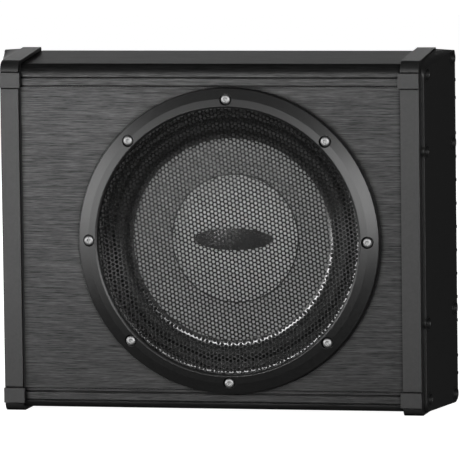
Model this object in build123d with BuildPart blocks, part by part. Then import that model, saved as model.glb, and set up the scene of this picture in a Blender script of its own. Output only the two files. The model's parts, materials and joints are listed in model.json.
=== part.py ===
from build123d import *
import os
from math import asin, atan2, cos, degrees, pi, sin

os.makedirs("parts", exist_ok=True)

# Powered car subwoofer: a shallow extruded box between two cast end caps, with a ten-inch
# woofer behind a dished steel mesh, and its amplifier inside the left-hand end.
# The front faces -Y, +X is to the right seen from the front, and +Z is up. The origin is at
# the middle of the footprint, on the surface that the box stands on. A depth is counted
# from the face of the end-cap strips towards the rear.

# ---- Driving dimensions, mm ----
FRONT_WIDTH = 376.0      # across the two end-cap strips
CAP_DEPTH = 85.0         # face of the strips to the back of the caps
CAP_HEIGHT = 318.5       # underside of the caps to their highest edge, at the back
SIDE_STEP = 2.5          # the side face stands this far out of the strip at its front edge
SIDE_FLARE = 17.0        # and this far at the back
CAP_TOP_FRONT = 310.4    # the top slopes down to here at the front
STRIP_WIDTH = 16.5
RING_PROUD = 7.0         # trim ring ahead of the strips
FOOT_HEIGHT = 5.0
GASKET = 1.0
WALL = 3.0               # shell
CAP_WALL = 4.0
WOOFER_X = 17.0          # the woofer sits to the right, to leave room for the amplifier
WOOFER_Z = 153.0
CUTOUT_RADIUS = 117.5
RING_RADIUS = 135.0
SCREW_CIRCLE = 125.0
RING_SCREWS = 8

# ---- Worked out from them ----
STRIP_FACE = RING_PROUD - (RING_PROUD + CAP_DEPTH + FOOT_HEIGHT) / 2
HALF_FRONT = FRONT_WIDTH / 2
CAP_INNER = HALF_FRONT - STRIP_WIDTH
SHELL_END = CAP_INNER - GASKET
SHELL_LENGTH = 2 * SHELL_END
STEP_DEPTH = 12.0        # from the strip's face back to the front edge of the side face
SIDE_ANGLE = atan2(SIDE_FLARE - SIDE_STEP, CAP_DEPTH - STEP_DEPTH)
SIDE_LENGTH = (CAP_DEPTH - STEP_DEPTH) / cos(SIDE_ANGLE)
CENTRED_MIN = (Align.CENTER, Align.CENTER, Align.MIN)
CENTRED_MAX = (Align.CENTER, Align.CENTER, Align.MAX)


def at(depth):
    """Y of a point this far behind the face of the strips."""
    return STRIP_FACE + depth


def yz(*points):
    """Points (depth, z) of an end profile, as (y, z)."""
    return [(at(depth), z) for depth, z in points]


def save(builder, label):
    """Label a finished piece and write its STEP file."""
    builder.part.label = label
    export_step(builder.part, f"parts/{label}.step")


def block(low, high):
    """A box between two corners given as (x, depth, z)."""
    size = [b - a for a, b in zip(low, high)]
    centre = ((low[0] + high[0]) / 2, at((low[1] + high[1]) / 2), (low[2] + high[2]) / 2)
    return Pos(*centre) * Box(*size, mode=Mode.PRIVATE)


# Woofer axes: local z runs towards the rear from the strips' face, so offsets are depths.
WOOFER = Plane(origin=(WOOFER_X, at(0), WOOFER_Z), x_dir=(1, 0, 0), z_dir=(0, 1, 0))
# Half section of the woofer: local x is the radius and local y the depth.
SECTION = Plane(origin=(WOOFER_X, at(0), WOOFER_Z), x_dir=(1, 0, 0), z_dir=(0, 0, 1))
WOOFER_AXIS = Axis((WOOFER_X, 0, WOOFER_Z), (0, 1, 0))

# ---- Front shell: aluminium extrusion along X ----
BEAD_DEPTH = 3.5         # the bead strips stand proud of the panel
PANEL_DEPTH = 5.0
PANEL_LOW, PANEL_HIGH = 18.1, 288.3
BEAD_HEIGHT = 6.0
GROOVE = 1.4
SHELL_TOP_FRONT, SHELL_TOP_BACK = 307.4, 315.2
SHELL_BOTTOM = 3.5
PLATE_DEPTH = 77.0       # front of the heatsink plate, against the shell's rear lips
LIP_HEIGHT = 25.0
PORT_RADIUS = 4.2
PORT_BORE = 2.05
# screw ports along the shell, as (depth, z)
FRONT_PORTS = [(20.0, 298.5), (17.0, 231.3), (17.0, 80.5), (20.0, 13.0)]
REAR_PORTS = [(79.0, 309.0), (79.0, 11.0)]
HEATSINK_PORTS = [(79.0, 234.0), (79.0, 87.5)]
# webs between the ports and the walls, as (depth, z, width, height)
PORT_WEBS = [
    (20.0, 303.0, 3.0, 7.0),
    (13.5, 298.5, 10.0, 3.0),
    (12.0, 231.3, 7.0, 4.0),
    (12.0, 80.5, 7.0, 4.0),
    (20.0, 7.0, 3.0, 5.0),
    (79.0, 7.0, 3.0, 5.0),
]
CAP_SCREWS = FRONT_PORTS + REAR_PORTS + HEATSINK_PORTS
panel_middle = (PANEL_LOW + PANEL_HIGH) / 2

with BuildPart() as front_shell:
    with BuildSketch(Plane.YZ.offset(-SHELL_END)):
        with BuildLine():
            FilletPolyline(
                *yz(
                    (BEAD_DEPTH, SHELL_BOTTOM),
                    (CAP_DEPTH, SHELL_BOTTOM),
                    (CAP_DEPTH, SHELL_TOP_BACK),
                    (BEAD_DEPTH, SHELL_TOP_FRONT),
                ),
                radius=[5.5, 0.5, 0.5, 10.4],
                close=True,
            )
        make_face()
        with BuildLine():
            FilletPolyline(
                *yz(
                    (PANEL_DEPTH + WALL + 1, SHELL_BOTTOM + WALL),
                    (CAP_DEPTH + 1, SHELL_BOTTOM + WALL),
                    (CAP_DEPTH + 1, SHELL_TOP_BACK - WALL),
                    (PANEL_DEPTH + WALL + 1, SHELL_TOP_FRONT - WALL),
                ),
                radius=[3, 0, 0, 7],
                close=True,
            )
        make_face(mode=Mode.SUBTRACT)
        # brushed front panel between the bead strips, with a groove at each side of a bead
        with Locations((at(BEAD_DEPTH / 2 + PANEL_DEPTH / 2), panel_middle)):
            Rectangle(PANEL_DEPTH - BEAD_DEPTH, PANEL_HIGH - PANEL_LOW, mode=Mode.SUBTRACT)
        for edge, away in ((PANEL_LOW, -1), (PANEL_HIGH, 1)):
            for start in (0, GROOVE + BEAD_HEIGHT):
                with Locations((at(BEAD_DEPTH + 1), edge + away * (start + GROOVE / 2))):
                    Rectangle(3.0, GROOVE, mode=Mode.SUBTRACT)
        # fine line scored along the bottom of the panel
        with Locations((at(PANEL_DEPTH), PANEL_LOW + 2.4)):
            Rectangle(1.0, 0.7, mode=Mode.SUBTRACT)
        # lips that the heatsink is screwed to
        for low in (SHELL_BOTTOM + 1, SHELL_TOP_BACK - 1.5 - LIP_HEIGHT):
            with Locations((at(PLATE_DEPTH - 1.75), low + LIP_HEIGHT / 2)):
                Rectangle(3.5, LIP_HEIGHT)
        # screw ports and the webs that hold them to the walls
        for depth, z in FRONT_PORTS + REAR_PORTS:
            with Locations((at(depth), z)):
                Circle(PORT_RADIUS)
        for depth, z, width, height in PORT_WEBS:
            with Locations((at(depth), z)):
                Rectangle(width, height)
        for depth, z in FRONT_PORTS + REAR_PORTS:
            with Locations((at(depth), z)):
                Circle(PORT_BORE, mode=Mode.SUBTRACT)
    extrude(amount=SHELL_LENGTH)
    # the woofer's cut-out goes through the panel and the two ports behind it
    with Locations(WOOFER):
        Cylinder(CUTOUT_RADIUS, 30, align=CENTRED_MIN, mode=Mode.SUBTRACT)
    with Locations(WOOFER):
        with PolarLocations(SCREW_CIRCLE, RING_SCREWS):
            Cylinder(PORT_BORE, 12, align=CENTRED_MIN, mode=Mode.SUBTRACT)
    # holes for the heatsink screws in the rear lips
    SINK_SCREW_X = [-150.0, -75.0, 0.0, 75.0, 150.0]
    SINK_SCREW_Z = [22.0, 293.5]
    SINK_SCREW_PLANES = [
        Plane(origin=(x, at(PLATE_DEPTH + 4), z), z_dir=(0, 1, 0))
        for x in SINK_SCREW_X
        for z in SINK_SCREW_Z
    ]
    with Locations(*SINK_SCREW_PLANES):
        Cylinder(1.75, 14, align=CENTRED_MAX, mode=Mode.SUBTRACT)
save(front_shell, "front_shell")

# ---- Rear heatsink: extruded plate with horizontal fins ----
PLATE_THICKNESS = 4.0
PLATE_LOW, PLATE_HIGH = 17.0, 299.0
REAR_CENTRE = 159.0
RIB_PITCH = 20.8
FIN_PITCH = RIB_PITCH / 2
FIN_COUNT = 24
RIB_DEPTH = CAP_DEPTH + 4
POSTS = [(-160.0, 60.0), (-109.0, 45.0), (-160.0, 250.0), (-109.0, 268.0)]
CLAMP_X = -128.0
CLAMP_SCREW_Z = [94.0, 220.0]

with BuildPart() as rear_heatsink:
    with BuildSketch(Plane.YZ.offset(-SHELL_END)):
        plate_middle = (PLATE_LOW + PLATE_HIGH) / 2
        with Locations((at(PLATE_DEPTH + PLATE_THICKNESS / 2), plate_middle)):
            Rectangle(PLATE_THICKNESS, PLATE_HIGH - PLATE_LOW)
        fin_root = PLATE_DEPTH + PLATE_THICKNESS
        fin_middle = (fin_root - 0.5 + RIB_DEPTH) / 2
        with Locations((at(fin_middle), REAR_CENTRE)):
            with GridLocations(0, FIN_PITCH, 1, FIN_COUNT + 1):
                Rectangle(RIB_DEPTH - fin_root + 0.5, 2.2)
        for depth, z in HEATSINK_PORTS:
            with Locations((at(depth), z)):
                Circle(PORT_RADIUS)
                Circle(PORT_BORE, mode=Mode.SUBTRACT)
    extrude(amount=SHELL_LENGTH)
    with Locations(*SINK_SCREW_PLANES):
        Cylinder(1.85, 14, align=CENTRED_MAX, mode=Mode.SUBTRACT)
    # tapped holes for the board's posts and the transistor clamp
    tapped = POSTS + [(CLAMP_X, z) for z in CLAMP_SCREW_Z]
    with Locations(*[Plane(origin=(x, at(PLATE_DEPTH), z), z_dir=(0, 1, 0)) for x, z in tapped]):
        Cylinder(1.55, 3.2, align=CENTRED_MIN, mode=Mode.SUBTRACT)
save(rear_heatsink, "rear_heatsink")

with BuildPart(*SINK_SCREW_PLANES) as heatsink_screws:
    Cylinder(3.2, 2.2, align=CENTRED_MIN)
    Cylinder(1.7, 9, align=CENTRED_MAX)
    with BuildSketch(*[plane.offset(2.2) for plane in SINK_SCREW_PLANES]):
        Rectangle(3.4, 0.8)
        Rectangle(0.8, 3.4)
    extrude(amount=-1.2, mode=Mode.SUBTRACT)
save(heatsink_screws, "heatsink_screws")


# ---- End caps: castings, mirrored left and right ----
BLOCK_HEIGHT = 13.3
BLOCK_PROUD = 2.5
BLOCK_LOWS = [7.5, 287.5]
BLOCK_OVERHANG = 1.8     # inboard, ahead of the shell's edge
BLOCK_SEAM = 0.8         # groove in the strip above and below a block
POCKET_RADIUS = 5.0
POCKET_DEPTH = 9.0
LOBE_RADIUS = 6.5        # wall round a screw's pocket
LOBE_PROUD = 0.3         # ahead of the side face
FOOT_X = 190.0
FOOT_OFFSET = 101.5
FOOT_RADIUS = 9.3
MOUNT_HOLE_RADIUS = 2.5
MOUNT_HOLE_DEPTH = 12.0
# recess for the controls in the left cap: inner face of its floor, depths and heights
RECESS_FLOOR = 184.0
RECESS_DEPTHS = (31.0, 71.0)
RECESS_HEIGHTS = (36.0, 274.0)
FLOOR_THICKNESS = 3.0
FLOOR_LEDGE = 3.5
RIB_OFFSETS = [k * RIB_PITCH for k in range(-4, 5)] + [-130.3, -114.5, 114.5, 130.3]


def side_x(depth):
    """X of the right-hand side face at this depth."""
    return HALF_FRONT + SIDE_STEP + (depth - STEP_DEPTH) * sin(SIDE_ANGLE) / cos(SIDE_ANGLE)


def side_plane(inset=0.0):
    """Plane of the right-hand side face, moved inwards: local x runs back, local y up."""
    normal = Vector(cos(SIDE_ANGLE), -sin(SIDE_ANGLE), 0)
    front_edge = Vector(HALF_FRONT + SIDE_STEP, at(STEP_DEPTH), 0)
    origin = front_edge - normal * inset
    return Plane(origin=origin, x_dir=(sin(SIDE_ANGLE), cos(SIDE_ANGLE), 0), z_dir=normal)


def screw_axis(depth, z):
    """Plane at the seat of a cap screw's head, facing out of the right-hand cap."""
    seat = side_x(depth) - POCKET_DEPTH
    return Plane(origin=(seat, at(depth), z), x_dir=(0, 1, 0), z_dir=(1, 0, 0))


def cap_cavity(with_recess):
    """The hollow of a right-hand cap, less the bosses that stay solid inside it."""
    with BuildPart() as cavity:
        with BuildSketch(Plane.YZ.offset(CAP_INNER - 0.5)):
            with BuildLine():
                FilletPolyline(
                    *yz((7, 8), (CAP_DEPTH - 5, 8), (CAP_DEPTH - 5, 310.5), (7, 303)),
                    radius=4,
                    close=True,
                )
            make_face()
        with BuildSketch(side_plane(CAP_WALL)):
            with BuildLine():
                FilletPolyline(
                    (6, 10),
                    (SIDE_LENGTH - 5, 10),
                    (SIDE_LENGTH - 5, 308),
                    (6, 298),
                    radius=4,
                    close=True,
                )
            make_face()
        loft()
        for depth, z in CAP_SCREWS:
            with Locations(Plane(origin=(CAP_INNER - 1, at(depth), z), z_dir=(1, 0, 0))):
                Cylinder(POCKET_RADIUS + 2, 50, align=CENTRED_MIN, mode=Mode.SUBTRACT)
        for offset in (-FOOT_OFFSET, FOOT_OFFSET):
            foot = Plane(origin=(FOOT_X, at(CAP_DEPTH), REAR_CENTRE + offset), z_dir=(0, 1, 0))
            with Locations(foot):
                Cylinder(6, 15, align=CENTRED_MAX, mode=Mode.SUBTRACT)
        if with_recess:
            add(
                block(
                    (RECESS_FLOOR - FLOOR_THICKNESS, RECESS_DEPTHS[0] - 3, RECESS_HEIGHTS[0] - 3),
                    (220, RECESS_DEPTHS[1] + 3, RECESS_HEIGHTS[1] + 3),
                ),
                mode=Mode.SUBTRACT,
            )
    return cavity.part


def screw_lobes():
    """Walls of the screw pockets, cut off level just outside the right-hand side face."""
    with BuildPart() as lobes:
        for depth, z in CAP_SCREWS:
            with Locations(Plane(origin=(HALF_FRONT - 1, at(depth), z), z_dir=(1, 0, 0))):
                Cylinder(LOBE_RADIUS, 2 * SIDE_FLARE, align=CENTRED_MIN)
        split(bisect_by=side_plane(-LOBE_PROUD), keep=Keep.BOTTOM)
    return lobes.part


def end_cap(with_recess):
    """A right-hand end cap, with or without the controls' recess in its side."""
    with BuildPart() as cap:
        # raised band: front strip, shoulder, top and underside
        with BuildSketch(Plane.YZ.offset(CAP_INNER)):
            with BuildLine():
                FilletPolyline(
                    *yz((0, 0), (CAP_DEPTH, 0), (CAP_DEPTH, CAP_HEIGHT), (0, CAP_TOP_FRONT)),
                    radius=[8, 2, 2, 10.4],
                    close=True,
                )
            make_face()
        extrude(amount=STRIP_WIDTH)
        # flared side, bevelled along its top and bottom
        with BuildSketch(Plane.YZ.offset(HALF_FRONT - 2)):
            with BuildLine():
                FilletPolyline(
                    *yz((12, 1), (CAP_DEPTH, 1), (CAP_DEPTH, CAP_HEIGHT - 1.2), (12, 310.2)),
                    radius=[7, 2, 2, 10],
                    close=True,
                )
            make_face()
        with BuildSketch(side_plane()):
            with BuildLine():
                FilletPolyline(
                    (0, 2.6),
                    (SIDE_LENGTH, 3.4),
                    (SIDE_LENGTH, CAP_HEIGHT - 2),
                    (0, 303),
                    radius=[8, 7, 2.5, 9],
                    close=True,
                )
            make_face()
        loft()
        add(screw_lobes())
        # corner blocks at the ends of the front strip, between two grooves
        for low in BLOCK_LOWS:
            high = low + BLOCK_HEIGHT
            for start in (low - BLOCK_SEAM, high):
                add(
                    block(
                        (CAP_INNER - 1, -1, start),
                        (HALF_FRONT + 1, BLOCK_SEAM, start + BLOCK_SEAM),
                    ),
                    mode=Mode.SUBTRACT,
                )
            add(block((CAP_INNER, -BLOCK_PROUD, low), (HALF_FRONT + 0.4, STEP_DEPTH, high)))
            add(
                block(
                    (CAP_INNER - BLOCK_OVERHANG, -BLOCK_PROUD, low),
                    (CAP_INNER + 1, BEAD_DEPTH - 0.5, high),
                )
            )
        # ribs across the back, in line with the heatsink's fins
        for offset in RIB_OFFSETS:
            middle = REAR_CENTRE + offset
            add(
                block(
                    (CAP_INNER + 0.5, CAP_DEPTH - 3, middle - 1.3),
                    (side_x(CAP_DEPTH) - 0.3, RIB_DEPTH, middle + 1.3),
                )
            )
        add(cap_cavity(with_recess), mode=Mode.SUBTRACT)
        # pockets and holes for the screws
        for depth, z in CAP_SCREWS:
            with Locations(screw_axis(depth, z)):
                Cylinder(POCKET_RADIUS, 20, align=CENTRED_MIN, mode=Mode.SUBTRACT)
                Cylinder(PORT_BORE + 0.1, 40, align=CENTRED_MAX, mode=Mode.SUBTRACT)
        # threaded holes behind the feet, where a bracket is bolted
        for offset in (-FOOT_OFFSET, FOOT_OFFSET):
            foot = Plane(origin=(FOOT_X, at(CAP_DEPTH), REAR_CENTRE + offset), z_dir=(0, 1, 0))
            with Locations(foot):
                Cylinder(
                    MOUNT_HOLE_RADIUS, MOUNT_HOLE_DEPTH, align=CENTRED_MAX, mode=Mode.SUBTRACT
                )
        if with_recess:
            (near, far), (low, high) = RECESS_DEPTHS, RECESS_HEIGHTS
            add(block((RECESS_FLOOR, near, low), (220, far, high)), mode=Mode.SUBTRACT)
            add(
                block(
                    (CAP_INNER - 1, near + FLOOR_LEDGE, low + FLOOR_LEDGE),
                    (RECESS_FLOOR + 1, far - FLOOR_LEDGE, high - FLOOR_LEDGE),
                ),
                mode=Mode.SUBTRACT,
            )
            for x, depth, z in PANEL_SCREW_POINTS:
                with Locations(Plane(origin=(-x, at(depth), z), z_dir=(1, 0, 0))):
                    Cylinder(1.3, 6, align=CENTRED_MAX, mode=Mode.SUBTRACT)
    return cap.part


def cap_screws():
    """Socket-head screws of a right-hand cap."""
    planes = [screw_axis(depth, z) for depth, z in CAP_SCREWS]
    with BuildPart(*planes) as screws:
        Cylinder(3.9, 4.2, align=CENTRED_MIN)
        with BuildSketch(*[plane.offset(4.2) for plane in planes]):
            RegularPolygon(1.9, 6)
        extrude(amount=-2.4, mode=Mode.SUBTRACT)
    with BuildPart() as shanks:
        for plane in planes:
            length = plane.origin.X - CAP_INNER + GASKET + 14
            with Locations(plane):
                Cylinder(2.0, length, align=CENTRED_MAX)
    with BuildPart() as whole:
        add(screws.part)
        add(shanks.part)
    return whole.part


def cap_gasket():
    """Flat seal between the shell's right-hand end and its cap."""
    with BuildPart() as gasket:
        with BuildSketch(Plane.YZ.offset(SHELL_END)):
            with BuildLine():
                FilletPolyline(
                    *yz(
                        (BEAD_DEPTH + 1, SHELL_BOTTOM + 0.6),
                        (CAP_DEPTH - 0.6, SHELL_BOTTOM + 0.6),
                        (CAP_DEPTH - 0.6, SHELL_TOP_BACK - 0.7),
                        (BEAD_DEPTH + 1, SHELL_TOP_FRONT - 0.7),
                    ),
                    radius=[5, 1, 1, 9.5],
                    close=True,
                )
            make_face()
            with BuildLine():
                FilletPolyline(
                    *yz((23, 21), (73, 21), (73, 293), (23, 290)), radius=3, close=True
                )
            make_face(mode=Mode.SUBTRACT)
            for depth, z in CAP_SCREWS:
                with Locations((at(depth), z)):
                    Circle(PORT_BORE + 0.2, mode=Mode.SUBTRACT)
        extrude(amount=GASKET)
    return gasket.part


# ---- Places of the controls, used by the cap, the panel and the board alike ----
PANEL_THICKNESS = 1.5
PANEL_FACE = -(RECESS_FLOOR + PANEL_THICKNESS)
CONTROL_DEPTH = 54.0     # depth of the controls' axes
KNOB_HEIGHTS = {"gain": 236.0, "crossover": 214.0, "boost": 192.0}
LED_Z = 256.0
SWITCH_Z = 171.0
REMOTE_Z = 150.0
RCA_HEIGHTS = [131.0, 115.0]
SOCKET_Z = 95.0
FUSE_HEIGHTS = [78.0, 71.5]
TERMINAL_LOW, TERMINAL_HIGH = 42.5, 65.5
TERMINAL_DEPTH = 52.0    # the wider sockets sit a little forward, clear of the board
FUSE_DEPTH = 50.5
PANEL_SCREW_POINTS = [
    (-RECESS_FLOOR, depth, z)
    for depth in (RECESS_DEPTHS[0] + 1.9, RECESS_DEPTHS[1] - 1.9)
    for z in (48.0, 155.0, 262.0)
]

with BuildPart() as right_end_cap:
    add(end_cap(False))
save(right_end_cap, "right_end_cap")

with BuildPart() as left_end_cap:
    add(end_cap(True).mirror(Plane.YZ))
save(left_end_cap, "left_end_cap")

for name, make in (("cap_screws", cap_screws), ("cap_gasket", cap_gasket)):
    with BuildPart() as right_piece:
        add(make())
    save(right_piece, f"right_{name}")
    with BuildPart() as left_piece:
        add(make().mirror(Plane.YZ))
    save(left_piece, f"left_{name}")

FOOT_PLANES = [
    Plane(origin=(x, at(CAP_DEPTH), REAR_CENTRE + offset), z_dir=(0, 1, 0))
    for x in (-FOOT_X, FOOT_X)
    for offset in (-FOOT_OFFSET, FOOT_OFFSET)
]
with BuildPart(*FOOT_PLANES) as rubber_feet:
    Cone(FOOT_RADIUS, FOOT_RADIUS - 1, FOOT_HEIGHT, align=CENTRED_MIN)
    Cylinder(MOUNT_HOLE_RADIUS + 0.8, FOOT_HEIGHT, align=CENTRED_MIN, mode=Mode.SUBTRACT)
save(rubber_feet, "rubber_feet")

# ---- Trim ring, mesh and the woofer's frame ----
FLANGE_DEPTH = 0.5       # front of the basket's flange; the mesh's flange lies on it
MESH_THICKNESS = 1.0
MESH_DISH = 91.5         # radius of the flat middle of the mesh
MESH_DEPTH = 5.0
HEAD_SEAT = -3.0
CLEARANCE_HOLE = 2.15

with BuildPart() as trim_ring:
    with BuildSketch(SECTION):
        with BuildLine():
            FilletPolyline(
                (CUTOUT_RADIUS, -0.5),
                (131.5, -0.5),
                (131.5, PANEL_DEPTH),
                (RING_RADIUS, PANEL_DEPTH),
                (RING_RADIUS, -1.5),
                (SCREW_CIRCLE + 0.5, -5.4),
                (CUTOUT_RADIUS + 1.6, -RING_PROUD),
                (CUTOUT_RADIUS, -RING_PROUD + 1),
                radius=[0, 0, 0, 0, 1.2, 0, 0.8, 0.4],
                close=True,
            )
        make_face()
    revolve(axis=WOOFER_AXIS)
    with Locations(WOOFER.offset(HEAD_SEAT)):
        with PolarLocations(SCREW_CIRCLE, RING_SCREWS):
            Cylinder(5.3, 6, align=CENTRED_MAX, mode=Mode.SUBTRACT)
            Cylinder(CLEARANCE_HOLE, 6, align=CENTRED_MIN, mode=Mode.SUBTRACT)
save(trim_ring, "trim_ring")

with BuildPart() as trim_ring_screws:
    with Locations(WOOFER.offset(HEAD_SEAT)):
        with PolarLocations(SCREW_CIRCLE, RING_SCREWS):
            Cylinder(4.3, 1.4, align=CENTRED_MAX)
            Cylinder(2.0, 12.5, align=CENTRED_MIN)
    with Locations(WOOFER.offset(HEAD_SEAT - 1.4)):
        with PolarLocations(SCREW_CIRCLE, RING_SCREWS):
            # the cone's narrow end is the front of the rounded head
            Cone(3.0, 4.3, 1.5, align=CENTRED_MAX)
    with BuildSketch(WOOFER.offset(HEAD_SEAT - 2.9)):
        with PolarLocations(SCREW_CIRCLE, RING_SCREWS):
            RegularPolygon(1.5, 6)
    extrude(amount=1.6, mode=Mode.SUBTRACT)
save(trim_ring_screws, "trim_ring_screws")

with BuildPart() as grille_mesh:
    with BuildSketch(SECTION):
        with BuildLine():
            Polyline(
                (0, MESH_DEPTH),
                (MESH_DISH, MESH_DEPTH),
                (CUTOUT_RADIUS - 1.5, FLANGE_DEPTH - MESH_THICKNESS),
                (130.5, FLANGE_DEPTH - MESH_THICKNESS),
                (130.5, FLANGE_DEPTH),
                (CUTOUT_RADIUS - 1.3, FLANGE_DEPTH),
                (MESH_DISH + 0.2, MESH_DEPTH + MESH_THICKNESS),
                (0, MESH_DEPTH + MESH_THICKNESS),
                close=True,
            )
        make_face()
    revolve(axis=WOOFER_AXIS)
    with Locations(WOOFER.offset(-2)):
        with PolarLocations(SCREW_CIRCLE, RING_SCREWS):
            Cylinder(CLEARANCE_HOLE, 5, align=CENTRED_MIN, mode=Mode.SUBTRACT)
save(grille_mesh, "grille_mesh")

SURROUND_DEPTH = 15.5    # front of the surround's flat edges
SPIDER_DEPTH = 42.0
SPIDER_LAND = 66.5
SEAT_DEPTH = 50.0        # rear of the basket, where the magnet system starts
BASKET_WINDOWS = 6
FLANGE_RADIUS = 131.0

with BuildPart() as woofer_basket:
    with BuildSketch(SECTION):
        with BuildLine():
            Polyline(
                (FLANGE_RADIUS, FLANGE_DEPTH),
                (FLANGE_RADIUS, PANEL_DEPTH - 1),
                (CUTOUT_RADIUS - 1, PANEL_DEPTH - 1),
                (CUTOUT_RADIUS - 1, 18.5),
                (110.5, 20.5),
                (80.5, 45.5),
                (66, SEAT_DEPTH),
                (30, SEAT_DEPTH),
                (30, SEAT_DEPTH - 2.5),
                (63, SEAT_DEPTH - 2.5),
                (66, SPIDER_DEPTH + 3.5),
                (66, SPIDER_DEPTH + 1),
                (79.5, SPIDER_DEPTH + 1),
                (107.5, 19),
                (107.5, SURROUND_DEPTH + 1),
                (114, SURROUND_DEPTH + 1),
                (114, 2.4),
                (116.4, FLANGE_DEPTH),
                close=True,
            )
        make_face()
    revolve(axis=WOOFER_AXIS)
    with BuildSketch(WOOFER.offset(20)):
        with PolarLocations(94, BASKET_WINDOWS, start_angle=180 / BASKET_WINDOWS):
            RectangleRounded(18, 60, 6)
    extrude(amount=SPIDER_DEPTH - 19, mode=Mode.SUBTRACT)
    with Locations(WOOFER):
        with PolarLocations(SCREW_CIRCLE, RING_SCREWS):
            Cylinder(CLEARANCE_HOLE, 5, align=CENTRED_MIN, mode=Mode.SUBTRACT)
save(woofer_basket, "woofer_basket")

with BuildPart() as woofer_gasket:
    with BuildSketch(WOOFER.offset(PANEL_DEPTH - 1)):
        Circle(FLANGE_RADIUS)
        Circle(CUTOUT_RADIUS + 0.5, mode=Mode.SUBTRACT)
        with PolarLocations(SCREW_CIRCLE, RING_SCREWS):
            Circle(CLEARANCE_HOLE, mode=Mode.SUBTRACT)
    extrude(amount=1)
save(woofer_gasket, "woofer_gasket")

# ---- Moving assembly of the woofer ----
CONE_EDGE = 93.2
FORMER_INNER, FORMER_OUTER = 25.4, 25.9
CONE_RIM_DEPTH = SURROUND_DEPTH + 1
CONE_NECK_DEPTH = 37.5
CAP_EDGE_RADIUS = 56.4
CAP_APEX_DEPTH = 18.0
CAP_SKIN = 0.8
ROLL_MIDDLE = 101.0
ROLL_RADIUS = 7.5


def cone_depth(radius):
    """Depth of the cone's front surface at this radius."""
    run = (88.5 - radius) / (88.5 - FORMER_OUTER)
    return CONE_RIM_DEPTH + 0.8 + run * (CONE_NECK_DEPTH - CONE_RIM_DEPTH - 0.8)


with BuildPart() as surround:
    with BuildSketch(SECTION):
        with BuildLine():
            outer, inner = ROLL_MIDDLE + ROLL_RADIUS, ROLL_MIDDLE - ROLL_RADIUS
            rear = SURROUND_DEPTH + 1
            Polyline((outer, SURROUND_DEPTH), (113.6, SURROUND_DEPTH), (113.6, rear))
            Line((113.6, rear), (outer - 1, rear))
            ThreePointArc(
                (outer - 1, rear), (ROLL_MIDDLE, rear - ROLL_RADIUS + 1), (inner + 1, rear)
            )
            Polyline((inner + 1, rear), (89.5, rear), (89.5, SURROUND_DEPTH))
            Line((89.5, SURROUND_DEPTH), (inner, SURROUND_DEPTH))
            ThreePointArc(
                (inner, SURROUND_DEPTH),
                (ROLL_MIDDLE, SURROUND_DEPTH - ROLL_RADIUS),
                (outer, SURROUND_DEPTH),
            )
        make_face()
    revolve(axis=WOOFER_AXIS)
save(surround, "surround")

with BuildPart() as cone:
    with BuildSketch(SECTION):
        with BuildLine():
            Polyline(
                (CONE_EDGE, CONE_RIM_DEPTH),
                (89.5, CONE_RIM_DEPTH),
                (88.5, cone_depth(88.5)),
                (FORMER_OUTER, cone_depth(FORMER_OUTER)),
                (FORMER_OUTER, cone_depth(FORMER_OUTER) + 1.2),
                (88.8, cone_depth(88.5) + 1.1),
                (CONE_EDGE, CONE_RIM_DEPTH + 1),
                close=True,
            )
        make_face()
    revolve(axis=WOOFER_AXIS)
save(cone, "cone")


# the dust cap is part of a sphere, down to the cone
DOME_SAG = cone_depth(CAP_EDGE_RADIUS) - CAP_APEX_DEPTH - CAP_SKIN
DOME_RADIUS = (CAP_EDGE_RADIUS**2 + DOME_SAG**2) / (2 * DOME_SAG)
DOME_ANGLE = degrees(asin(CAP_EDGE_RADIUS / DOME_RADIUS))


def dome(outer, inner):
    """Half section between two spheres about the dome's centre."""
    centre = (0, CAP_APEX_DEPTH + DOME_RADIUS)
    with BuildSketch(SECTION) as half:
        with BuildLine():
            front = CenterArc(centre, outer, -90, DOME_ANGLE)
            back = CenterArc(centre, inner, -90, DOME_ANGLE)
            Line(front @ 0, back @ 0)
            Line(front @ 1, back @ 1)
        make_face()
    return half.sketch


with BuildPart() as dust_cap:
    revolve(dome(DOME_RADIUS, DOME_RADIUS - CAP_SKIN).faces(), axis=WOOFER_AXIS)
save(dust_cap, "dust_cap")

# plain oval badge, following the dome
BADGE_THICKNESS = 0.9
with BuildPart() as dust_cap_badge:
    revolve(dome(DOME_RADIUS + BADGE_THICKNESS, DOME_RADIUS).faces(), axis=WOOFER_AXIS)
    with BuildSketch(WOOFER.offset(10)):
        Ellipse(36, 11)
    extrude(amount=20, mode=Mode.INTERSECT)
save(dust_cap_badge, "dust_cap_badge")

with BuildPart() as spider:
    with BuildSketch(SECTION):
        waves = 4
        steps = 48
        inner, outer, skin = 30.0, 65.0, 0.7
        front = [
            (
                inner + (outer - inner) * k / steps,
                SPIDER_DEPTH + 0.15 + 1.1 * sin(2 * pi * waves * k / steps),
            )
            for k in range(steps + 1)
        ]
        rear = [(radius, depth + skin) for radius, depth in reversed(front)]
        with BuildLine():
            Polyline(
                (FORMER_OUTER, SPIDER_DEPTH + 0.15),
                *front,
                (78.5, SPIDER_DEPTH + 0.15),
                (78.5, SPIDER_DEPTH + 0.15 + skin),
                *rear,
                (FORMER_OUTER, SPIDER_DEPTH + 0.15 + skin),
                close=True,
            )
        make_face()
    revolve(axis=WOOFER_AXIS)
save(spider, "spider")

with BuildPart() as coil_former:
    with BuildSketch(WOOFER.offset(33)):
        Circle(FORMER_OUTER)
        Circle(FORMER_INNER, mode=Mode.SUBTRACT)
    extrude(amount=27)
save(coil_former, "coil_former")

with BuildPart() as voice_coil:
    with BuildSketch(WOOFER.offset(47.5)):
        Circle(27.0)
        Circle(FORMER_OUTER, mode=Mode.SUBTRACT)
    extrude(amount=11.5)
save(voice_coil, "voice_coil")

# ---- Magnet system ----
TOP_PLATE = 6.0
MAGNET_THICKNESS = 13.0
BACK_PLATE = 5.0

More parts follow.
